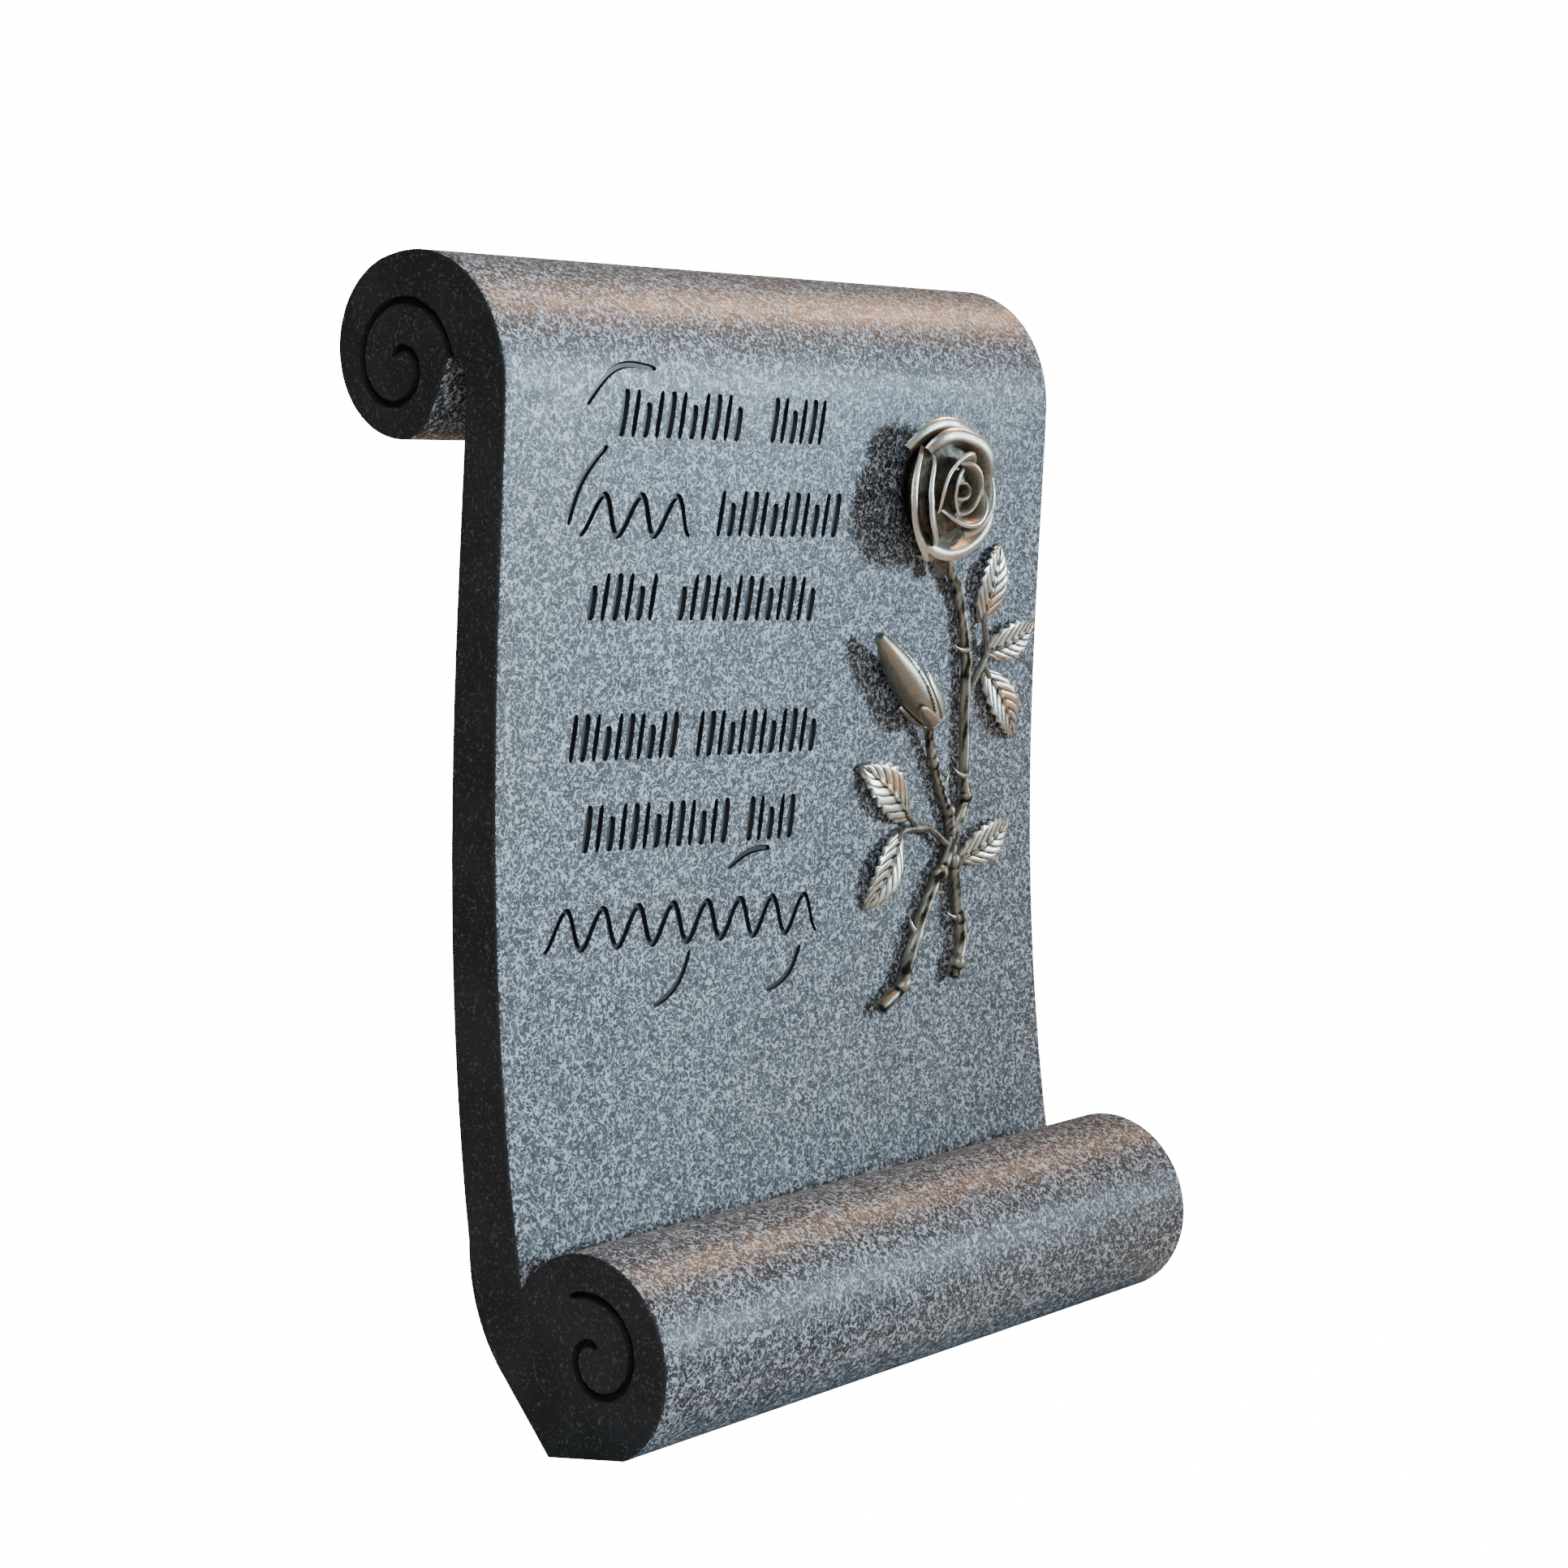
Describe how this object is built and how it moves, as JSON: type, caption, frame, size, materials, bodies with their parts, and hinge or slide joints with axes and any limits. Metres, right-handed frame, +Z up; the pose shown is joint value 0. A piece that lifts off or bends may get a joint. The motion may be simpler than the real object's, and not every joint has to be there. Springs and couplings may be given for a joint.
{
  "type": "grave memorial plaque",
  "caption": "Free-standing graveside plaque in the shape of an open scroll, rolled back at the top and forward at the foot, with engraved stroke rows and a raised rose spray.",
  "frame": {"origin": "centre of the flat underside, on the surface that the plaque stands on", "axes": "+Z up, +X along the rolls towards the rose spray's side, the engraved front faces -Y"},
  "size_m": [0.1904, 0.0602, 0.2532],
  "materials": {
    "granite_cast": "speckled granite effect, satin on the front and rolls, dark and matte on the side faces",
    "antique_pewter": "antique pewter with darkened recesses and rubbed bright rims"
  },
  "bodies": {
    "root": {"scroll_body": "granite_cast", "rose_spray": "antique_pewter"}
  },
  "joints": []
}
